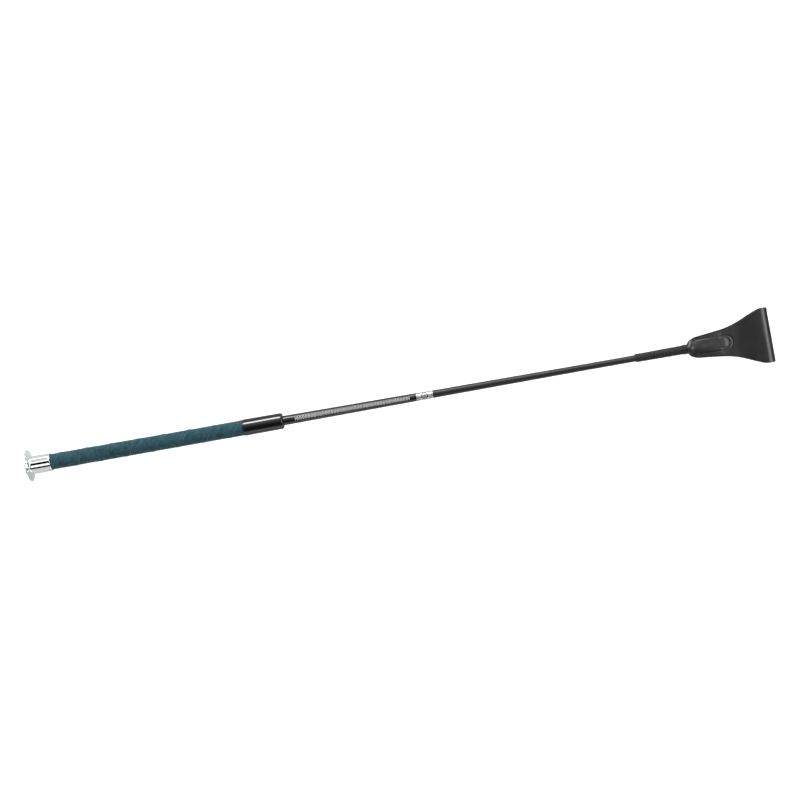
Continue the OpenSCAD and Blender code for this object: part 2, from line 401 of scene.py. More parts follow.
def blend_colours(tree, share, first, second):
    """First where share is 0 and second where it is 1."""
    made = add(tree, "Mix", data_type="RGBA")
    fill(tree, made.inputs[0], share)
    fill(tree, made.inputs[6], first)
    fill(tree, made.inputs[7], second)
    return made.outputs[2]


def bumped(tree, height, depth):
    """The surface's normal with a height in millimetres on it."""
    return add(tree, "Bump", {"Height": height, "Distance": depth * MM, "Strength": 1.0}).outputs[0]


def group(name, inputs, outputs, build):
    """A node group with named inputs and outputs; build takes its tree and inputs and returns its outputs."""
    tree = bpy.data.node_groups.new(name, "ShaderNodeTree")
    for key, kind in inputs.items():
        tree.interface.new_socket(key, in_out="INPUT", socket_type="NodeSocket" + kind)
    for key in outputs:
        tree.interface.new_socket(key, in_out="OUTPUT", socket_type="NodeSocketFloat")
    inlet, outlet = tree.nodes.new("NodeGroupInput"), tree.nodes.new("NodeGroupOutput")
    results = build(tree, {key: inlet.outputs[key] for key in inputs})
    for key, result in zip(outputs, results):
        fill(tree, outlet.inputs[key], result)
    return tree


def use(tree, shared, **values):
    """Places a shared group in a material and returns its outputs as terms."""
    made = tree.nodes.new("ShaderNodeGroup")
    made.node_tree = shared
    for key, value in values.items():
        fill(tree, made.inputs[key.replace("_", " ")], value)
    return [Term(tree, socket) for socket in made.outputs]


def finish_of(name, build):
    """A material whose build function takes its tree and returns the shader's sockets."""
    material = bpy.data.materials.new(name)
    material.use_nodes = True
    tree = material.node_tree
    shader = tree.nodes["Principled BSDF"]
    for key, value in build(tree).items():
        fill(tree, shader.inputs[key], value)
    return material


# ---- Shared effects ----

def hide_grain(tree, given):
    """Hide: small cells with creases between them, over a slow unevenness and the odd pore."""
    where, size = given["Place"], Term(tree, given["Cell size"])
    scaled = add(tree, "VectorMath", {0: where, "Scale": Term(tree, size.calc("POWER", -1.0).socket)},
                 operation="SCALE").outputs[0]
    bent = add(tree, "TexNoise", {"Vector": scaled, "Scale": 0.6, "Detail": 2.0})
    warped = add(tree, "VectorMath", {0: scaled, 1: bent.outputs["Color"]}, operation="ADD").outputs[0]
    cells = Term(tree, add(tree, "TexVoronoi", {"Vector": warped, "Scale": 1.0, "Randomness": 1.0},
                           feature="SMOOTH_F1").outputs["Distance"])
    fine = Term(tree, add(tree, "TexNoise", {"Vector": scaled, "Scale": 3.0, "Detail": 2.0}).outputs[0])
    slow = Term(tree, add(tree, "TexNoise", {"Vector": scaled, "Scale": 0.08, "Detail": 4.0}).outputs[0])
    height = cells * -0.7 + fine * 0.35 + 0.5
    return height, slow


def handling_marks(tree, given):
    """Wear of handling: faint smears and thin scratches along the crop, 0 where clean."""
    where = given["Place"]
    smear = Term(tree, add(tree, "TexNoise", {"Vector": where, "Scale": 0.09, "Detail": 5.0,
                                              "Roughness": 0.65}).outputs[0]).ramp(0.42, 0.75)
    drawn = add(tree, "VectorMath", {0: where, 1: (0.12, 2.4, 2.4)}, operation="MULTIPLY").outputs[0]
    scratch = Term(tree, add(tree, "TexNoise", {"Vector": drawn, "Scale": 1.3, "Detail": 3.0}).outputs[0])
    scratch = scratch.ramp(0.66, 0.74)
    amount = Term(tree, given["Amount"])
    return smear * amount, scratch * amount


def thread_lay(tree, given):
    """Twisted yarn: strands that run slantwise round the thread, with loose fibres between them."""
    along, around, _ = split(tree, given["Along"])
    strand = (along * given["Twists per mm"] + around * 2.0) * TURN
    ridge = strand.calc("SINE") * 0.5 + 0.5
    loose = add(tree, "TexNoise", {"Vector": given["Along"], "Scale": 3.0, "Detail": 3.0})
    fibres = Term(tree, loose.outputs[0])
    return ridge * 0.7 + fibres * 0.3, fibres


GRAIN = group("hide grain", {"Place": "Vector", "Cell size": "Float"}, ["Height", "Slow"], hide_grain)
WEAR = group("handling marks", {"Place": "Vector", "Amount": "Float"}, ["Smear", "Scratch"], handling_marks)
LAY = group("thread lay", {"Along": "Vector", "Twists per mm": "Float"}, ["Height", "Fibres"], thread_lay)


# ---- Finishes ----

def chrome(tree):
    """Bright plate, a little smeared by handling."""
    smear, scratch = use(tree, WEAR, Place=place_mm(tree), Amount=1.0)
    return {
        "Base Color": blend_colours(tree, smear * 0.5, (0.79, 0.81, 0.81), (0.70, 0.73, 0.73)),
        "Metallic": 1.0,
        "Roughness": smear * 0.05 + scratch * 0.06 + 0.035,
    }


def suede(tree):
    """Napped split leather: mottled pile, darker winding creases, and a pale raw edge along the strip."""
    where = place_mm(tree, "strip")
    along, across, edge = split(tree, where)
    flat = add(tree, "CombineXYZ", {0: along, 1: across}).outputs[0]
    mottle = noise(tree, flat, 7.0, 5.0, 0.66).ramp(0.32, 0.70)
    patch = noise(tree, flat, 2.6, 4.0, 0.62).ramp(0.38, 0.72)
    pile = noise(tree, flat, 0.35, 3.0, 0.7)
    crease = abs(noise(tree, flat, 8.0, 2.0, 0.5, 1.0) - 0.5).ramp(0.075, 0.0)
    crease = crease * noise(tree, flat, 9.0, 2.0).ramp(0.40, 0.60)
    fine_crease = abs(noise(tree, flat, 4.0, 1.0, 0.5, 0.6) - 0.5).ramp(0.10, 0.0)
    fine_crease = fine_crease * noise(tree, flat, 12.0, 2.0).ramp(0.45, 0.65)
    dark = (crease * 0.8 + fine_crease * 0.5).smaller(1.0)
    raw = edge.ramp(0.40, 0.20) * noise(tree, flat, 5.0, 2.0).ramp(0.30, 0.60)
    tone = blend_colours(tree, mottle, (0.0125, 0.042, 0.055), (0.022, 0.066, 0.083))
    tone = blend_colours(tree, patch * 0.5, tone, (0.029, 0.077, 0.091))
    tone = blend_colours(tree, pile.ramp(0.40, 0.62) * 0.35, tone, (0.011, 0.037, 0.048))
    tone = blend_colours(tree, dark * 0.75, tone, (0.0045, 0.019, 0.027))
    tone = blend_colours(tree, raw * 0.5, tone, (0.12, 0.16, 0.16))
    height = pile * 0.5 + patch * 0.25 - dark * 0.6
    return {
        "Base Color": tone,
        "Roughness": 0.92,
        "Specular IOR Level": 0.2,
        "Sheen Weight": 0.12,
        "Sheen Roughness": 0.45,
        "Sheen Tint": (0.45, 0.62, 0.66),
        "Normal": bumped(tree, height, 0.14),
    }


def gloss_black(tree):
    """Deep black lacquer that has been handled a little."""
    smear, scratch = use(tree, WEAR, Place=place_mm(tree), Amount=0.6)
    return {
        "Base Color": blend_colours(tree, smear, (0.0015, 0.0015, 0.0015), (0.003, 0.003, 0.003)),
        "Roughness": smear * 0.06 + scratch * 0.08 + 0.06,
    }


def printed_gloss(tree):
    """Glossy black sleeve with a printed row of open lozenges, each between two short bars."""
    where = place_mm(tree)
    x, y, z = split(tree, where)
    height = y.calc("ARCTAN2", z) * (GLOSS_R + GLOSS_FRONT_R) * 0.5
    cell = ((x - PRINT_START) / PRINT_PITCH).calc("FRACT") * PRINT_PITCH - PRINT_PITCH / 2
    lozenge = abs(cell) / LOZENGE_HALF_L + abs(height) / LOZENGE_HALF_H
    ring = lozenge.ramp(1.06, 0.98) * lozenge.ramp(0.46, 0.54)
    centre = lozenge.ramp(0.24, 0.16)
    bar = abs(abs(cell) - BAR_X).ramp(0.33, 0.26) * abs(height).ramp(1.52, 1.44)
    last = PRINT_START + PRINT_PITCH * PRINT_CELLS
    inside = abs(x - (PRINT_START + last) / 2).ramp((last - PRINT_START) / 2, (last - PRINT_START) / 2 - 0.1)
    worn = noise(tree, where, 0.8, 3.0).ramp(0.25, 0.42) * 0.25 + 0.75
    ink = (ring + centre + bar).smaller(1.0) * inside * worn
    smear, scratch = use(tree, WEAR, Place=where, Amount=0.8)
    base = blend_colours(tree, smear, (0.003, 0.003, 0.003), (0.006, 0.006, 0.006))
    return {
        "Base Color": blend_colours(tree, ink, base, (0.40, 0.40, 0.39)),
        "Roughness": smear * 0.07 + scratch * 0.08 + ink * 0.15 + 0.19,
        "Normal": bumped(tree, ink, 0.02),
    }


def foil(tree):
    """Silver foil printed with border lines, a lozenge in a ring of petals and four small roundels."""
    where = place_mm(tree)
    x, y, z = split(tree, where)
    along = abs(x - (BAND_START + BAND_END) / 2)
    half_round = (y.calc("ARCTAN2", z) / math.pi + 0.5).calc("FRACT") - 0.5
    across = abs(half_round * math.pi * BAND_FRONT_R)
    far = (along * along + across * across).calc("SQRT")
    border = abs(along - 6.35).ramp(0.20, 0.10) + abs(along - 5.75).ramp(0.12, 0.06)
    lozenge = along / 1.5 + across / 2.0
    star = (across.calc("ARCTAN2", along) * 8.0).calc("COSINE") * 0.35
    petals = (far + star).ramp(3.15, 3.0) * (far + star * 0.5).ramp(1.95, 2.1)
    outline = abs(lozenge - 0.8).ramp(0.16, 0.08)
    bead = far.ramp(0.5, 0.4)
    to_corner = ((along - 4.5).power(2.0) + (across - 2.7).power(2.0)).calc("SQRT")
    roundel = to_corner.ramp(0.5, 0.42) + abs(to_corner - 0.95).ramp(0.16, 0.08)
    ink = (border + petals + outline + bead + roundel).smaller(1.0)
    crinkle = noise(tree, where, 0.7, 3.0)
    smear, _ = use(tree, WEAR, Place=where, Amount=1.0)
    silver = blend_colours(tree, crinkle, (0.40, 0.40, 0.41), (0.62, 0.62, 0.63))
    return {
        "Base Color": blend_colours(tree, ink * 0.93, silver, (0.02, 0.02, 0.022)),
        "Metallic": ink * -0.8 + 0.9,
        "Roughness": crinkle * 0.15 + smear * 0.1 + 0.28,
        "Normal": bumped(tree, crinkle * 0.6 + ink * 0.5, 0.03),
    }


def satin_black(tree):
    """Shrunk-on satin sleeve: very fine pebbling, rubbed a little paler along the crop."""
    where = place_mm(tree)
    smear, scratch = use(tree, WEAR, Place=where, Amount=1.0)
    pebble = noise(tree, where, 0.25, 2.0)
    base = blend_colours(tree, smear, (0.007, 0.007, 0.0075), (0.011, 0.011, 0.0115))
    return {
        "Base Color": blend_colours(tree, scratch * 0.4, base, (0.03, 0.03, 0.03)),
        "Specular IOR Level": 0.4,
        "Roughness": smear * 0.06 + 0.36,
        "Normal": bumped(tree, pebble, 0.012),
    }


def thread(twists, base, worn, shine):
    """A finish for twisted thread, with its twists per millimetre, its tones and how much it shines."""
    def build(tree):
        height, fibres = use(tree, LAY, Along=place_mm(tree, "along"), Twists_per_mm=twists)
        patch = noise(tree, place_mm(tree), 1.3, 3.0, 0.6).ramp(0.42, 0.66)
        tone = blend_colours(tree, patch * fibres.ramp(0.35, 0.65), base, worn)
        return {
            "Base Color": tone,
            "Specular IOR Level": shine,
            "Roughness": fibres * 0.2 - patch * 0.15 + 0.45,
            "Normal": bumped(tree, height, 0.05),
        }
    return build


def black_leather(tree):
    """Dyed smooth leather: fine grain, paler rubbed patches at the root, and burnished edges."""
    where = place_mm(tree, "rest_mm")
    rim = Term(tree, add(tree, "Attribute", attribute_name="rim").outputs["Fac"])
    height, slow = use(tree, GRAIN, Place=where, Cell_size=0.42)
    x, _, _ = split(tree, where)
    rubbed = noise(tree, where, 4.0, 5.0, 0.68).ramp(0.42, 0.75) * x.ramp(628.0, 604.0)
    tone = blend_colours(tree, slow.ramp(0.3, 0.7), (0.0045, 0.0045, 0.0047), (0.0072, 0.0072, 0.0075))
    tone = blend_colours(tree, rubbed * 0.7, tone, (0.013, 0.013, 0.0135))
    tone = blend_colours(tree, rim, tone, (0.003, 0.003, 0.003))
    return {
        "Base Color": tone,
        "Roughness": slow * 0.08 + rubbed * 0.08 - rim * 0.06 + 0.27,
        "Normal": bumped(tree, height * (rim * -0.8 + 1.0), 0.026),
    }


def inner_moulding(tree):
    """Plain moulding with a fine spark texture, as it left the tool."""
    where = place_mm(tree)
    spark = noise(tree, where, 0.3, 3.0)
    tone = blend_colours(tree, noise(tree, where, 6.0, 3.0), (0.010, 0.010, 0.010), (0.020, 0.020, 0.020))
    return {"Base Color": tone, "Roughness": spark * 0.2 + 0.5, "Normal": bumped(tree, spark, 0.03)}


def carbon(tree):
    """Ground carbon rod: fibres along the rod under a dull resin skin."""
    where = place_mm(tree)
    drawn = add(tree, "VectorMath", {0: where, 1: (0.05, 3.0, 3.0)}, operation="MULTIPLY").outputs[0]
    fibres = noise(tree, drawn, 0.6, 4.0)
    tone = blend_colours(tree, fibres, (0.008, 0.008, 0.009), (0.035, 0.035, 0.038))
    return {"Base Color": tone, "Roughness": fibres * 0.2 + 0.3, "Normal": bumped(tree, fibres, 0.02)}


def stiffener_hide(tree):
    """Undyed sole leather with a coarser grain than the tongue's."""
    height, slow = use(tree, GRAIN, Place=place_mm(tree), Cell_size=0.9)
    tone = blend_colours(tree, slow, (0.16, 0.075, 0.032), (0.26, 0.14, 0.065))
    return {"Base Color": tone, "Roughness": slow * 0.15 + 0.6, "Normal": bumped(tree, height, 0.08)}


CHROME = finish_of("chrome_plate", chrome)
SUEDE = finish_of("teal_suede", suede)
GLOSS = finish_of("gloss_lacquer", gloss_black)
PRINTED = finish_of("printed_gloss_sleeve", printed_gloss)
FOIL = finish_of("printed_foil", foil)
SATIN = finish_of("satin_sleeve", satin_black)
WAXED = finish_of("waxed_thread", thread(0.55, (0.004, 0.004, 0.004), (0.032, 0.032, 0.032), 0.35))
SEWN = finish_of("sewing_thread", thread(0.9, (0.002, 0.002, 0.002), (0.006, 0.006, 0.006), 0.12))
LEATHER = finish_of("black_leather", black_leather)
MOULDING = finish_of("inner_moulding", inner_moulding)
CARBON = finish_of("ground_carbon", carbon)
SOLE = finish_of("sole_leather", stiffener_hide)


# ---- Chrome cap ----

def cap_profile():
    """From the middle of the end face round the rim, up the quarter-ellipse flare, over the groove and the
    neck to the rounded mouth, and back down the bore to the middle of its floor."""
    mouth_r = suede_outer(CAP_END)
    outer = [
        spaced([[0, 0.6], [0, RIM_R - RIM_ROUND]], 0.8),
        arc(RIM_ROUND, RIM_R - RIM_ROUND, RIM_ROUND, RIM_ROUND, 180, 90, 9),
        [[RIM_T - 0.1, RIM_R]],
        arc(RIM_T - 0.1, RIM_R - 0.12, 0.12, 0.12, 80, 20, 4),
        arc(FLARE_FOOT, RIM_R - 0.12, FLARE_L - 0.02, RIM_R - 0.12 - NECK_R, 180, 270, 40)[1:],
        arc(FLARE_FOOT + 0.2, NECK_R, 0.2, GROOVE_DEEP, 200, 340, 8),
        arc(NECK_START + 0.08, NECK_R - 0.08, 0.08, 0.08, 150, 90, 4),
        spaced([[NECK_START + 0.2, NECK_R], [CAP_END - 0.35, NECK_R]], 0.7),
        arc(CAP_END - 0.3, NECK_R - 0.3, 0.3, 0.3, 90, 0, 7),
        arc(CAP_END - 0.12, mouth_r + 0.12, 0.12, 0.12, 0, -90, 5),
    ]
    inner = spaced([[CAP_END - 0.3, mouth_r], [SUEDE_START, CAP_BORE_R], [CAP_FLOOR, CAP_BORE_R],
                    [CAP_FLOOR, 0.6]], 3.0)
    return np.concatenate([*outer, inner])


def suede_outer(x):
    """Radius over the suede at x, without its seams: an even taper."""
    return SUEDE_R - SUEDE_TAPER * (x - SUEDE_START)


def make_cap():
    """The cap's profile, turned round the axis."""
    cap = piece("chrome_cap", turned(cap_profile(), 160), CHROME, "stick", crease=30)
    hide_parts("butt_cap")


# ---- Suede grip ----

def strip_grid():
    """One strip wound left-handed round the core, its front edge lying on the next turn.

    The rear edge is at x = start + pitch x turns, and each row runs along the axis from the rear edge to
    the front one. The upper face stands at the tapered grip radius, less the skived thickness lost under
    the turn before, plus a step that grows over the overlap. The lower face lies on the core, and over
    the overlap it climbs on to the next turn's skived edge. Ends are cut off square under cap and collar.
    """
    width = WIND_PITCH + OVERLAP
    first_rear = SEAM_AT_SIDE - width - WIND_PITCH / 4
    start = (SUEDE_START + STRIP_LEAD - width - first_rear) / WIND_PITCH
    stop = (SUEDE_STOP - STRIP_LEAD - first_rear) / WIND_PITCH
    turns = np.linspace(start, stop, int((stop - start) * 104))
    face = np.concatenate([
        np.linspace(0, OVERLAP, 7)[:-1],
        np.linspace(OVERLAP, WIND_PITCH - 1, 26)[:-1],
        np.linspace(WIND_PITCH - 1, width - STRIP_EDGE, 12)[:-1],
        width - STRIP_EDGE + STRIP_EDGE * np.sin(np.radians(np.linspace(0, 80, 6))),
    ])
    back = np.concatenate([
        [width - 0.02],
        np.linspace(width - 0.4, WIND_PITCH - 0.6, 8),
        np.linspace(WIND_PITCH - 2, 0.1, 7),
    ])
    a = np.concatenate([face, back])[None, :]
    on_face = np.arange(a.shape[1])[None, :] < len(face)
    rear = first_rear + WIND_PITCH * turns[:, None]
    x = np.clip(rear + a, SUEDE_START + 0.02, SUEDE_STOP - 0.02)
    angle = turns[:, None] * TURN + 0 * a
    past = a - WIND_PITCH
    on_next = past > -TUCK
    climb = SKIVED_T * smooth((past + TUCK) / TUCK) + (SUEDE_T - SKIVED_T) * smooth(past / OVERLAP)
    skived = SKIVED_T + (SUEDE_T - SKIVED_T) * smooth(a / OVERLAP) - 0.02
    step = SEAM_STEP * smooth((past + 1.0) / (OVERLAP + 0.5))
    to_edge = (a - width) / STRIP_EDGE + 1
    roll = 0.22 * (1 - np.sqrt(np.clip(1 - to_edge ** 2, 0, 1))) * (to_edge > 0)
    core = suede_outer(x) - SUEDE_T
    rough = np.stack([x, suede_outer(x) * np.sin(angle), suede_outer(x) * np.cos(angle)], axis=-1)
    free = smooth((x - CAP_END) / 4) * smooth((GRIP_END + 0.4 - x) / 1.5)
    uneven = 0.05 * swell(rough, 11.0, 3) + 0.03 * swell(rough, 4.5, 4)
    full = SUEDE_T + free * (step - roll + uneven)
    face_height = np.where(a < OVERLAP, skived + free * np.minimum(0, uneven), full)
    back_height = np.minimum(free * on_next * (climb + free * uneven), np.minimum(skived, full) - 0.02)
    r = core + np.where(on_face, face_height, back_height)
    slant = math.atan2(WIND_PITCH, TURN * SUEDE_R)
    along = angle * SUEDE_R / math.cos(slant) + a * math.sin(slant)
    across = a * math.cos(slant) + 0 * angle
    edge = np.where(on_face, (width - a) * math.cos(slant), 0.0) + 0 * angle
    grid = np.stack([x, r * np.sin(angle), r * np.cos(angle)], axis=-1)
    return grid, np.stack([along, across, edge], axis=-1)


def make_grip():
    """The wound strip, marked with its own lengths along and across."""
    grid, marks = strip_grid()
    strip = piece("suede_strip", grid, SUEDE, "stick", marks={"strip": marks}, crease=60)
    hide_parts("grip_wrap")


# ---- Collar and shaft ----

def make_collar():
    """A turned shell with a rolled rear lip and a rounded shoulder, a little uneven as if it had been
    shrunk on: every outer point moves along its radius by a gentle swell."""
    rear_r = suede_outer(GRIP_END) + 0.08
    outer = [
        arc(GRIP_END + COLLAR_LIP, rear_r, COLLAR_LIP, COLLAR_R - rear_r, 180, 90, 14),
        spaced([[GRIP_END + COLLAR_LIP + 0.3, COLLAR_R], [COLLAR_END - COLLAR_ROUND, COLLAR_FRONT_R]], 0.6),
        arc(COLLAR_END - COLLAR_ROUND, COLLAR_FRONT_R - COLLAR_ROUND, COLLAR_ROUND, COLLAR_ROUND, 86, 0, 18),
        [[COLLAR_END, GLOSS_R + 0.12]],
        arc(COLLAR_END - 0.1, GLOSS_R + 0.1, 0.1, 0.1, 0, -90, 4),
    ]
    core_r = suede_outer(SLEEVE_START) - SUEDE_T
    inner = spaced([
        [SLEEVE_START, GLOSS_R + 0.005],
        [SLEEVE_START, core_r],
        [SUEDE_STOP, core_r],
        [SUEDE_STOP, suede_outer(SUEDE_STOP)],
        [GRIP_END + 0.3, suede_outer(GRIP_END) + 0.01],
    ], 3.0)
    profile = np.concatenate([*outer, inner])
    grid = turned(profile, 144)
    shown = (np.arange(len(profile)) < len(profile) - len(inner)) * (profile[:, 0] < COLLAR_END - 0.2)
    uneven = 0.035 * swell(grid * [0.6, 1, 1], 12.0, 8) * shown[:, None]
    grid[..., 1:] *= 1 + (uneven / profile[:, 1, None])[..., None]
    collar = piece("gloss_collar", grid, GLOSS, "stick", loop=True)
    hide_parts("collar")


def sleeve(name, node, corners, thickness, material, ripple=0.0):
    """A thin turned tube: its outer line as given, softened at both ends, and its inner line a wall's
    thickness below, with an optional slow ripple."""
    corners = np.asarray(corners, float)
    soft = 0.06
    line = spaced(corners, 2.5)
    ends = [[line[0, 0], line[0, 1] - soft], [line[0, 0] + soft, line[0, 1]]]
    tail = [[line[-1, 0] - soft, line[-1, 1]], [line[-1, 0], line[-1, 1] - soft]]
    outer = np.concatenate([ends, line[1:-1], tail])
    inner = corners[::-1] - [0, thickness - 0.004]
    profile = np.concatenate([outer, spaced(inner, 8.0)])
    grid = turned(profile, 96)
    moved = ripple * swell(grid * [0.35, 1, 1], 8.0, 12) * (np.arange(len(profile)) < len(outer))[:, None]
    grid[..., 1:] *= 1 + (moved / profile[:, 1, None])[..., None]
    made = piece(name, grid, material, "stick", loop=True)
    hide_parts(node)


def make_shaft():
    """The three sleeves, end to end over the rod."""
    sleeve("printed_shaft_sleeve", "gloss_sleeve",
           [[SLEEVE_START, GLOSS_R], [COLLAR_END, GLOSS_R], [BAND_START, GLOSS_FRONT_R]], GLOSS_T,
           PRINTED)
    sleeve("ornament_band", "foil_band", [[BAND_START, GLOSS_FRONT_R + 0.02], [BAND_END, BAND_FRONT_R]],
           GLOSS_T, FOIL)
    sleeve("satin_shaft_sleeve", "satin_sleeve",
           [[BAND_END, SATIN_R], [SATIN_STRAIGHT, SATIN_FRONT_R], [SATIN_END, SATIN_FRONT_R]], SATIN_T,
           SATIN, ripple=0.012)


# ---- Whipping ----

def tail_outer(x):
    """Radius over the leather tails under the whipping at x, and over the bare sleeve before them."""
    share = (x - WHIP_START) / (WHIP_END - WHIP_START)
    return WHIP_REAR_R - THREAD_T + share * (WHIP_FRONT_R - WHIP_REAR_R)


def wound(x, r, angle):
    """A thread's middle line round the axis, at x and r for each round angle, and its outward directions."""
    out = np.stack([0 * angle, np.sin(angle), np.cos(angle)], axis=-1)
    path = out * r[:, None]
    path[:, 0] = x
    return path, out


def thread_marks(run):
    """Marks for a thread's points: how far along it they are, in millimetres, and their share of the way
    round it."""
    run = run[..., None] + np.zeros(THREAD_SIDES)
    share = 0 * run + np.arange(THREAD_SIDES) / THREAD_SIDES
    return np.stack([run, share, 0 * run], axis=-1)


def make_whipping():
    """One thread wound close: x grows by a pitch each turn, the radius follows the tails, and both wander
    a little from turn to turn, as by hand."""
    length = WHIP_END - WHIP_START - THREAD_PITCH / 2
    turns = round(length / THREAD_PITCH)
    turn = np.linspace(0, turns, turns * 44)
    rng = np.random.default_rng(21)
    drift = np.interp(turn, np.arange(turns + 1), rng.normal(0, 0.10, turns + 1))
    rise = np.interp(turn, np.arange(turns + 1), rng.normal(0, 0.045, turns + 1))
    wobble = 0.04 * np.sin(turn * TURN * 3.13 + 1.0)
    x = WHIP_START + THREAD_PITCH / 2 + length * turn / turns + drift
    bulge = 0.10 * np.exp(-((turn - 2.5) / 2.2) ** 2)
    r = tail_outer(x) + THREAD_T / 2 + rise + wobble * 0.5 + bulge
    path, out = wound(x, r, turn * TURN)
    grid = tube(path, out, 0.41, 0.25, THREAD_SIDES)
    marks = thread_marks(turn * TURN * WHIP_FRONT_R)
    whipping = piece("whipping_thread", grid, WAXED, "stick", marks={"along": marks},
                     crease=80)
    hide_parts("whipping")


def make_lock():
    """Crossing turns that lock the whipping: strands go round the axis while they swing from side to side,
    and rise and fall twice a swing, so that they pass over and under each other."""
    middle = (LOCK_START + LOCK_END) / 2
    laps, swings = 7, 6
    angle = np.linspace(0, laps * TURN, laps * 150, endpoint=False)
    swing = angle * swings / laps
    rng = np.random.default_rng(5)
    lean = np.interp(angle, np.linspace(0, laps * TURN, 40), rng.normal(0, 0.16, 40))
    x = middle + 1.95 * np.sin(swing) + lean
    r = tail_outer(x).clip(3.4, TAIL_R) + THREAD_T / 2 + 0.17 + 0.15 * np.sin(2 * swing + 0.6)
    path, out = wound(x, r, angle)
    grid = closed_tube(path, out, 0.37, 0.25, THREAD_SIDES)
    marks = thread_marks(np.linalg.norm(np.diff(path, axis=0, append=path[:1]), axis=1).cumsum())
    lock = piece("lock_thread", grid, WAXED, "stick", loop=True, marks={"along": marks},
                 crease=80)
    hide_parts("whipping_lock")


# ---- Leather tongue ----

def half_width(x):
    """Half the tongue's width at x: an elliptical shoulder, a slow straight rise, then the flare."""
    shoulder = np.sqrt(np.clip(1 - (np.clip(SHOULDER_X - x, 0, None) / SHOULDER_L) ** 2, 0, 1))
    rise = STRAIGHT_RISE * np.clip(x - SHOULDER_X, 0, None)
    flare = smooth(np.clip((x - FLARE_START) / FLARE_RUN, 0, None) ** FLARE_POWER)
    gain = FOLD_HALF_W - ROOT_HALF_W - STRAIGHT_RISE * (TIP - SHOULDER_X)
    return ROOT_HALF_W * shoulder + rise + gain * flare


def seam_distance(x, y):
    """Distance to the U-shaped seam, and how far along it the nearest point is, from the curve's middle."""
    out = np.clip(x - SEAM_TURN_X, 0, None)
    far = np.hypot(out, y) - SEAM_R
    swing = np.arctan2(np.abs(y), out)
    along = np.where(x > SEAM_TURN_X, swing * SEAM_R, SEAM_R * math.pi / 2 + SEAM_TURN_X - x)
    return far, along


def hump(share):
    """A cosine squared: 1 in the middle, and 0 from a share of 1 outwards."""
    return np.cos(np.clip(np.abs(share), 0, 1) * math.pi / 2) ** 2


def upper_height(x, y):
    """Height of the tongue's upper face over the mid-plane.

    It is the leather's thickness, plus a ridge over the rod that sinks and widens into a pad over the
    stiffener and falls off round its nose, less the pulled-in seam, its needle holes and the small gathers
    that run in from them, and past the seam it rises to the fold."""
    crest = RIDGE - (RIDGE - PAD) * np.clip((x - RIDGE_START) / RIDGE_RUN, 0, 1)
    spread = RIDGE_HALF_W + (PAD_HALF_W - RIDGE_HALF_W) * smooth((x - RIDGE_START) / PAD_SPREAD_RUN)
    beyond = np.hypot(np.clip(x - NOSE_X, 0, None), y)
    fall = smooth((beyond - NOSE_R) / NOSE_SLOPE) * smooth((x - NOSE_X + 3) / 5)
    raised = crest * hump(y / spread) * (1 - fall)
    far, along = seam_distance(x, y)
    sewn = smooth((x - SEWN_START) / 2)
    hole = 0.5 + 0.5 * np.cos((along / STITCH_PITCH + 0.5) * TURN)
    pulled = 0.20 * np.exp(-((far / 0.62) ** 2)) * sewn
    pierced = 0.50 * np.exp(-((far / 0.34) ** 2)) * hole ** 6 * sewn
    gathers = 0.045 * hole ** 3 * np.exp(-(((far + 1.3) / 0.9) ** 2)) * smooth((x - NOSE_X) / 3)
    fold = (FOLD_R - HIDE_T) * smooth((x - RISE_X) / (FOLD_X - FOLD_BACK - RISE_X))
    return HIDE_T + raised - pulled - pierced - gathers + fold


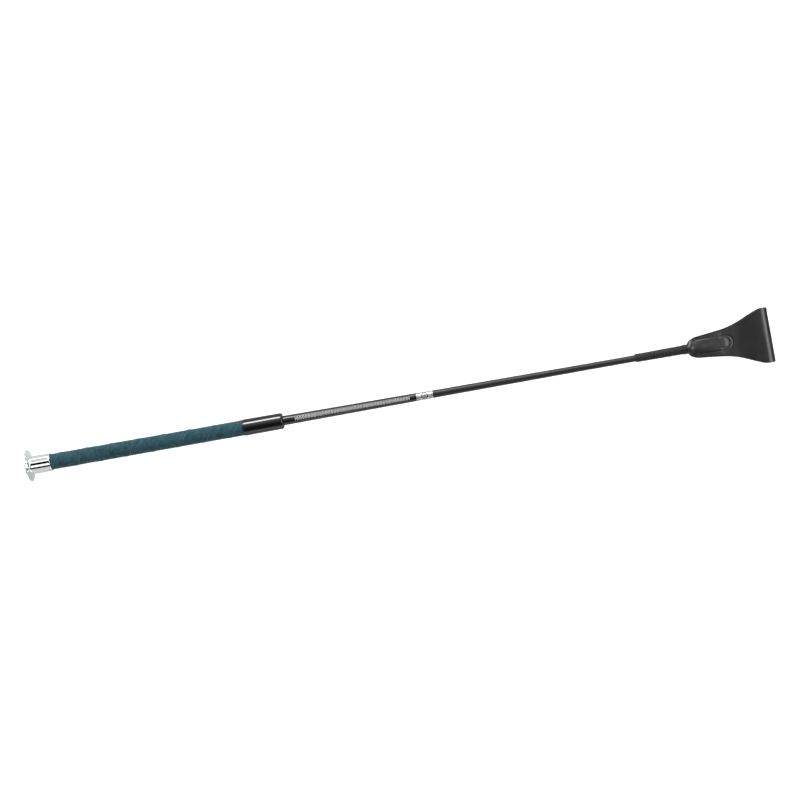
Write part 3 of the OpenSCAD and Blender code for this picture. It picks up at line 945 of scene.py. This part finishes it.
def tongue_grid():
    """One strip of leather from the upper tail, over the root and round the fold to the lower tail.

    Its middle surface comes first, with rows along the strip and columns across it: half a tube round the
    rod in the tails, which opens out into the plies, whose heights follow upper_height, and a half ellipse
    at the fold. Its outer and inner faces stand half the thickness either side along its normal, and its
    edges are half ellipses."""
    edge_r = 0.42
    x = np.concatenate([
        np.linspace(WHIP_START + 2, LOCK_START - 1, 12),
        np.arange(LOCK_START, ROOT_START, 0.45),
        np.arange(ROOT_START, HINGE_X - BEND_HALF, 0.33),
        np.arange(HINGE_X - BEND_HALF, PART_X + 4, 0.6),
        np.linspace(PART_X + 4.5, FOLD_X - FOLD_BACK, 20),
    ])[:, None]
    side = np.linspace(0.72, 1, 11)[1:]
    u = np.concatenate([-side[::-1], np.linspace(-0.72, 0.72, 60), side])
    tail_r = tail_outer(x).clip(None, TAIL_R)
    width = np.maximum(half_width(x) - edge_r, tail_r - 0.3)
    flat = smooth((x - LOCK_START - 3.5) / 7)
    y = width * ((1 - flat) * np.sin(u * math.pi / 2) + flat * u)
    over_rod = smooth((ROD_COVER_END - x) / ROD_COVER_RUN) * hump(y / RIDGE_HALF_W)
    over_stiffener = 1 - smooth((np.hypot(np.clip(x - NOSE_X, 0, None), y) - 4.9) / 2.2)
    pressed = np.maximum(1.1 * over_rod, 0.6 * over_stiffener * smooth((x - RIDGE_START) / 8))
    t = TAIL_T + (HIDE_T - TAIL_T) * smooth((x - LOCK_START - 2) / 9)
    t = t - np.minimum(pressed, t - TAIL_T) * flat
    tube_r = tail_r - t / 2 + 0.9 * smooth((x - LOCK_START - 2.5) / 5)
    z = (1 - flat) * tube_r * np.cos(u * math.pi / 2) + flat * (upper_height(x, y) - t / 2)
    ripple = 0.10 * smooth((x - RIPPLE_START) / 20) * smooth((FOLD_X - x) / 8)
    here = np.stack([x + 0 * y, y, 0 * y], axis=-1)
    ply = here + (z + ripple * swell(here, 26.0, 31))[..., None] * [0, 0, 1]
    lower = here - (z + ripple * swell(here, 26.0, 32))[..., None] * [0, 0, 1]
    bow = np.radians(np.linspace(90, -90, 30))[1:-1, None]
    fold_r = FOLD_R - HIDE_T / 2
    crest = x[-1, 0]
    full_w = half_width(np.array([TIP])) - edge_r
    narrowed = 1 - FOLD_NARROWS * np.cos(bow) ** 3
    fold_y = full_w * (width[-1] / full_w) ** (np.abs(bow) / (math.pi / 2)) * narrowed * u
    fold_x = crest + (FOLD_X + fold_r - crest) * np.cos(bow)
    fold = np.stack([fold_x + 0 * fold_y, fold_y, fold_r * np.sin(bow) + 0 * fold_y], axis=-1)
    middle = np.concatenate([ply, fold, lower[::-1]])
    thick = np.concatenate([t + 0 * y, np.full(fold_y.shape, HIDE_T), (t + 0 * y)[::-1]])
    along = np.gradient(middle, axis=0)
    across = np.gradient(middle, axis=1)
    across /= np.linalg.norm(across, axis=-1, keepdims=True)
    normal = np.cross(along, across)
    normal /= np.linalg.norm(normal, axis=-1, keepdims=True)
    half = normal * (thick / 2)[..., None]
    bend_angle = np.radians(np.linspace(90, -90, 11))[1:-1]

    def rim(column, sign):
        """The half ellipse that joins the two faces along one edge."""
        out = across[:, column, None] * sign * edge_r * np.cos(bend_angle)[:, None]
        return middle[:, column, None] + out + half[:, column, None] * np.sin(bend_angle)[:, None]

    grid = np.concatenate([middle + half, rim(-1, 1), (middle - half)[:, ::-1], rim(0, -1)[:, ::-1]], axis=1)
    to_edge = (1 - np.abs(u)) * width.max()
    burnish = np.clip(1 - to_edge / 0.9, 0, 1)
    full = np.ones(len(bend_angle))
    mark = np.concatenate([burnish, full, burnish[::-1], full])
    return grid, np.zeros(grid.shape[:2]) + mark


def make_tongue():
    """The folded strip of leather, made as one piece."""
    grid, rim = tongue_grid()
    leather = piece("tongue_leather", grid, LEATHER, marks={"rest_mm": grid, "rim": rim},
                    crease=70)
    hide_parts("root_ply_top", "root_ply_bottom", "tongue_fold")
    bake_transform(leather)


def make_stitches():
    """Short threads on both faces along the seam: each is an arch that dips into its two needle holes,
    turned a little off the seam's line."""
    index = np.arange(1, ROW_STITCHES + 1)
    swing = np.radians(np.linspace(-90, 90, ARC_STITCHES + 1))
    row_x = SEAM_TURN_X - index * STITCH_PITCH
    x = np.concatenate([row_x, SEAM_TURN_X + SEAM_R * np.cos(swing), row_x])
    y = np.concatenate([0 * row_x - SEAM_R, SEAM_R * np.sin(swing), 0 * row_x + SEAM_R])
    heading = np.concatenate([0 * row_x, swing + math.pi / 2, 0 * row_x + math.pi])
    rng = np.random.default_rng(14)
    heading = heading + math.radians(24) + rng.normal(0, 0.06, len(x))
    t = np.linspace(-1, 1, 11)
    half_l = 0.86
    sx = x[:, None] + np.cos(heading)[:, None] * t * half_l
    sy = y[:, None] + np.sin(heading)[:, None] * t * half_l
    top = upper_height(x, y)[:, None] + 0.16 - 0.62 * t ** 4
    upper = np.stack([sx, sy, top], axis=-1)
    lower = np.stack([sx, sy, -top], axis=-1)
    path = np.concatenate([upper, lower])
    up = np.zeros_like(path)
    up[..., 2] = 1.0
    grid = tube(path, up, 0.26, 0.2, THREAD_SIDES)
    marks = thread_marks(t * half_l + np.arange(len(path))[:, None] * STITCH_PITCH)
    stitches = piece("seam_stitches", grid, SEWN, "stick", marks={"along": marks}, crease=80)
    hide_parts("tongue_stitching")


def paint_hidden():
    """Finishes for the CAD parts that stay inside."""
    inside = {
        "cap_plug": MOULDING, "handle_core": MOULDING, "tip_guard": MOULDING,
        "carbon_rod": CARBON, "stiffener": SOLE
    }
    for node, material in inside.items():
        mesh = frame["nodes"][node].data
        mesh.materials.clear()
        mesh.materials.append(material)


# ---- Studio ----

CAMERA_HEIGHT = 1.15
FIELD = 0.690
ROLL = 10.05
FLOOR_SIZE = 6.0
FLOOR_GAP = 0.0001
MOST_BEND = 60.0
BENT_REACH = (TIP - HINGE_X) * math.sin(math.radians(MOST_BEND)) + FOLD_R
LAMP_OVER_COLLAR = 20.0
LAMP_OVER_SHAFT = 12.0
LAMP_AHEAD = 7.5
WALL = 0.26
WALL_SIDES = 2.1


def make_camera():
    """Straight above the middle of the crop, turned so that the crop rises to the right."""
    low, high = cad_bounds
    middle = (low + high) / 2
    data = bpy.data.cameras.new("camera")
    data.sensor_width = 36
    data.lens = data.sensor_width * CAMERA_HEIGHT / FIELD
    camera = bpy.data.objects.new("camera", data)
    camera.location = (middle.x, 0, CAMERA_HEIGHT)
    camera.rotation_euler = Euler((0, 0, -math.radians(ROLL)))
    bpy.context.scene.collection.objects.link(camera)
    bpy.context.scene.camera = camera


def make_floor():
    """A pale plane that touches the cap's rim and falls away under the tongue, which so has room to bend
    down. Mirrored in the chrome and the lacquer it is greyer, so that their edges stand out against it."""
    slope = (RIM_R - BENT_REACH) / (FOLD_X - RIM_ROUND)
    far = FLOOR_SIZE
    corners = [(x, y, -RIM_R * MM + slope * (x - RIM_ROUND * MM) - FLOOR_GAP)
               for x, y in ((-far, -far), (far, -far), (far, far), (-far, far))]
    mesh = bpy.data.meshes.new("floor")
    mesh.from_pydata(corners, [], [(0, 1, 2, 3)])

    def paper(tree):
        patch = noise(tree, place_mm(tree), 40.0, 3.0)
        tone = blend_colours(tree, patch, (0.93, 0.93, 0.93), (0.95, 0.95, 0.95))
        mirrored = add(tree, "LightPath").outputs["Is Glossy Ray"]
        tone = blend_colours(tree, mirrored, tone, (0.32, 0.33, 0.33))
        return {
            "Base Color": tone,
            "Roughness": 0.9,
            "Specular IOR Level": 0.0,
            "Emission Color": (1.0, 1.0, 1.0),
            "Emission Strength": 0.30,
        }

    mesh.materials.append(finish_of("white_paper", paper))
    floor = bpy.data.objects.new("floor", mesh)
    bpy.context.scene.collection.objects.link(floor)


def sky_ramp(tree, bearing, stops, most):
    """Brightness of the studio by its bearing round the crop's axis, in degrees from overhead towards +Y."""
    ramp = add(tree, "ValToRGB", {0: (bearing + 180.0) / 360.0})
    while len(ramp.color_ramp.elements) < len(stops):
        ramp.color_ramp.elements.new(1.0)
    for element, (degrees, level) in zip(ramp.color_ramp.elements, stops):
        element.position = (degrees + 180) / 360
        element.color = (level / most, level / most, level / most, 1.0)
    return Term(tree, ramp.outputs[0]) * most


def make_studio():
    """White room whose lights change along the crop, by the way they lie from it.

    Soft boxes stand along both sides, with a strip lamp over the collar and the shaft. The cap's neck sees
    dark flags between them, the cap's flare sees dark gaps, and the tongue a plain wall with a lamp ahead."""
    world = bpy.data.worlds.new("studio")
    bpy.context.scene.world = world
    world.use_nodes = True
    tree = world.node_tree
    way = add(tree, "TexCoord").outputs["Generated"]
    x, y, z = split(tree, way)
    bearing = y.calc("ARCTAN2", z) * (180 / math.pi)
    boxes = sky_ramp(tree, bearing, [
        (-180, 0.9), (-94, 2.0), (-84, 2.1), (-70, 1.2), (-60, 0.5), (-53, 0.12), (-16, 0.12), (4, 0.40),
        (16, 0.85), (39, 1.5), (52, 1.7), (67, 1.3), (92, 0.9), (180, 0.9)
    ], 3.0)
    lamp = bearing.ramp(47.5, 50.5) * bearing.ramp(71.5, 68.5) * x.ramp(-0.50, -0.35) * x.ramp(0.26, 0.16)
    lamp = lamp * (x.ramp(-0.060, -0.070) * LAMP_OVER_COLLAR + x.ramp(0.012, 0.03) * LAMP_OVER_SHAFT)
    flags = sky_ramp(tree, bearing, [
        (-180, 0.8), (-90, 0.8), (-56, 0.7), (-54, 0.0), (-34, 0.0), (-32, 1.5), (-9, 1.5), (-6, 0.0),
        (20, 0.0), (22, 1.5), (36, 1.4), (39, 0.72), (68, 0.68), (72, 1.5), (92, 1.5), (180, 0.8)
    ], 2.0)
    gaps = sky_ramp(tree, bearing, [
        (-180, 0.9), (-100, 1.4), (-70, 1.4), (-66, 0.0), (-46, 0.0), (-42, 1.8), (-30, 1.8), (-26, 0.0),
        (66, 0.0), (70, 1.8), (90, 1.4), (100, 0.9), (180, 0.9)
    ], 2.0)
    at_cap = x.ramp(-0.215, -0.235) * x.ramp(-0.315, -0.295)
    at_flare = x.ramp(0.70, 0.74)
    ahead = x.ramp(0.43, 0.53) * abs(bearing).ramp(32.0, 20.0)
    at_tip = x.ramp(0.200, 0.215) * x.ramp(0.60, 0.50)
    wall = abs(bearing).ramp(58.0, 82.0) * WALL_SIDES + WALL
    room = (boxes + lamp) * (at_cap * -1.0 + 1.0) * (at_tip * -1.0 + 1.0)
    room = room + flags * at_cap + wall * at_tip + ahead * LAMP_AHEAD
    light = room * (at_flare * -1.0 + 1.0) + gaps * at_flare
    seen = Term(tree, add(tree, "LightPath").outputs["Is Camera Ray"])
    strength = light * (seen * -1.0 + 1.0) + seen
    background = tree.nodes["Background"]
    fill(tree, background.inputs["Color"], (1.0, 1.0, 1.0))
    fill(tree, background.inputs["Strength"], strength)
    bpy.context.scene.view_settings.view_transform = "Standard"


make_camera()
make_floor()
make_studio()
make_cap()
make_grip()
make_collar()
make_shaft()
make_whipping()
make_lock()
make_tongue()
make_stitches()
paint_hidden()
